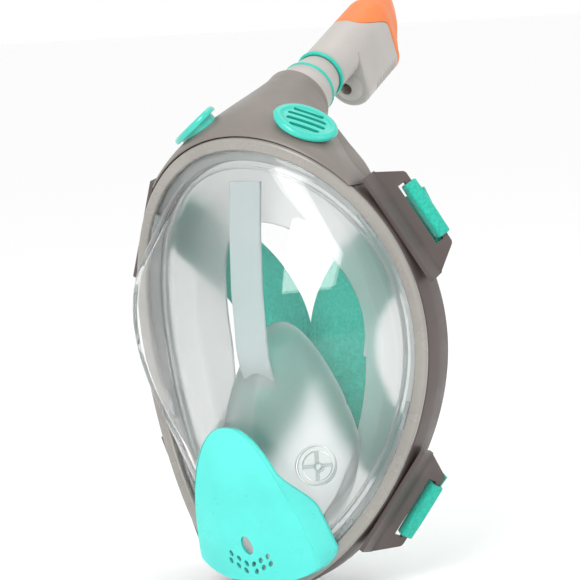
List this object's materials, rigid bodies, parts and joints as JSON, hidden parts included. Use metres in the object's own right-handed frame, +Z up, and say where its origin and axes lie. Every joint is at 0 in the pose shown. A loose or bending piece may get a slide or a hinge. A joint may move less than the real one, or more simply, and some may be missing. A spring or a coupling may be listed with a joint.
{
  "type": "full face snorkel mask",
  "caption": "Full face snorkel mask with a clear domed window, frosted silicone skirt, teal straps and a lift-out dry snorkel with an orange cap.",
  "frame": {"origin": "middle of the face opening, on the plane through the cheek seams", "axes": "+Z up as worn, +Y backward toward the head, the window faces -Y, +X to the wearer's left"},
  "size_m": [0.1892, 0.1877, 0.3081],
  "materials": {
    "clear_window": "clear polished polycarbonate",
    "bezel_grey": "satin moulded",
    "dark_taupe": "satin moulded",
    "warm_grey": "satin moulded",
    "dark_rubber": "matt",
    "frosted_silicone": "frosted translucent",
    "aqua_plastic": "satin moulded",
    "teal_plastic": "gloss moulded",
    "valve_silicone": "clear soft silicone",
    "strap_webbing": "woven elastic",
    "pale_grey_plastic": "satin moulded",
    "orange_plastic": "satin soft touch",
    "teal_rubber": "smooth"
  },
  "bodies": {
    "mask": {"visor_lens": "clear_window", "visor_seal": "dark_rubber", "visor_clips": "clear_window", "front_bezel": "bezel_grey", "rear_band": "dark_taupe", "crown_shell": "warm_grey", "face_skirt": "frosted_silicone", "nose_pocket": "frosted_silicone", "centre_duct": "frosted_silicone", "chin_cover": "aqua_plastic", "chin_valve_seat": "valve_silicone", "vent_cover_left": "teal_plastic", "vent_cover_right": "teal_plastic", "pocket_valve_seat_left": "valve_silicone", "pocket_valve_seat_right": "valve_silicone", "strap_bracket_upper_left": "dark_taupe", "strap_bracket_upper_right": "dark_taupe", "strap_bracket_lower_left": "dark_taupe", "strap_bracket_lower_right": "dark_taupe", "strap_loop_upper_left": "strap_webbing", "strap_loop_upper_right": "strap_webbing", "strap_loop_lower_left": "strap_webbing", "strap_loop_lower_right": "strap_webbing", "head_strap_left": "strap_webbing", "head_strap_right": "strap_webbing"},
    "snorkel": {"snorkel_tube": "pale_grey_plastic", "snorkel_cap": "orange_plastic", "chamber_stopper": "valve_silicone", "float_gasket": "teal_rubber", "neck_ring_lower": "teal_rubber", "neck_ring_upper": "teal_rubber"},
    "float": {"float": "orange_plastic"},
    "chin_valve_flap": {"chin_valve_flap": "valve_silicone"},
    "vent_flap_left": {"vent_flap_left": "valve_silicone"},
    "vent_flap_right": {"vent_flap_right": "valve_silicone"},
    "pocket_valve_flap_left": {"pocket_valve_flap_left": "valve_silicone"},
    "pocket_valve_flap_right": {"pocket_valve_flap_right": "valve_silicone"}
  },
  "joints": [
    {"name": "snorkel_pull", "type": "slide", "parent": "mask", "child": "snorkel", "axis": [0, 0.891, 0.454], "range_m": [0, 0.016]},
    {"name": "float_rise", "type": "slide", "parent": "snorkel", "child": "float", "axis": [0, 0.891, 0.454], "range_m": [0, 0.009]},
    {"name": "chin_flap_lift", "type": "slide", "parent": "mask", "child": "chin_valve_flap", "axis": [0, -0.9659, -0.2588], "range_m": [0, 0.0015], "stiffness_N_per_m": 10},
    {"name": "vent_flap_left_lift", "type": "slide", "parent": "mask", "child": "vent_flap_left", "axis": [0.5564, -0.3477, 0.7547], "range_m": [-0.0015, 0], "stiffness_N_per_m": 10},
    {"name": "vent_flap_right_lift", "type": "slide", "parent": "mask", "child": "vent_flap_right", "axis": [-0.5564, -0.3477, 0.7547], "range_m": [-0.0015, 0], "stiffness_N_per_m": 10},
    {"name": "pocket_flap_left_lift", "type": "slide", "parent": "mask", "child": "pocket_valve_flap_left", "axis": [0.7193, -0.6947, 0], "range_m": [0, 0.0015], "stiffness_N_per_m": 10},
    {"name": "pocket_flap_right_lift", "type": "slide", "parent": "mask", "child": "pocket_valve_flap_right", "axis": [-0.7193, -0.6947, 0], "range_m": [0, 0.0015], "stiffness_N_per_m": 10}
  ]
}
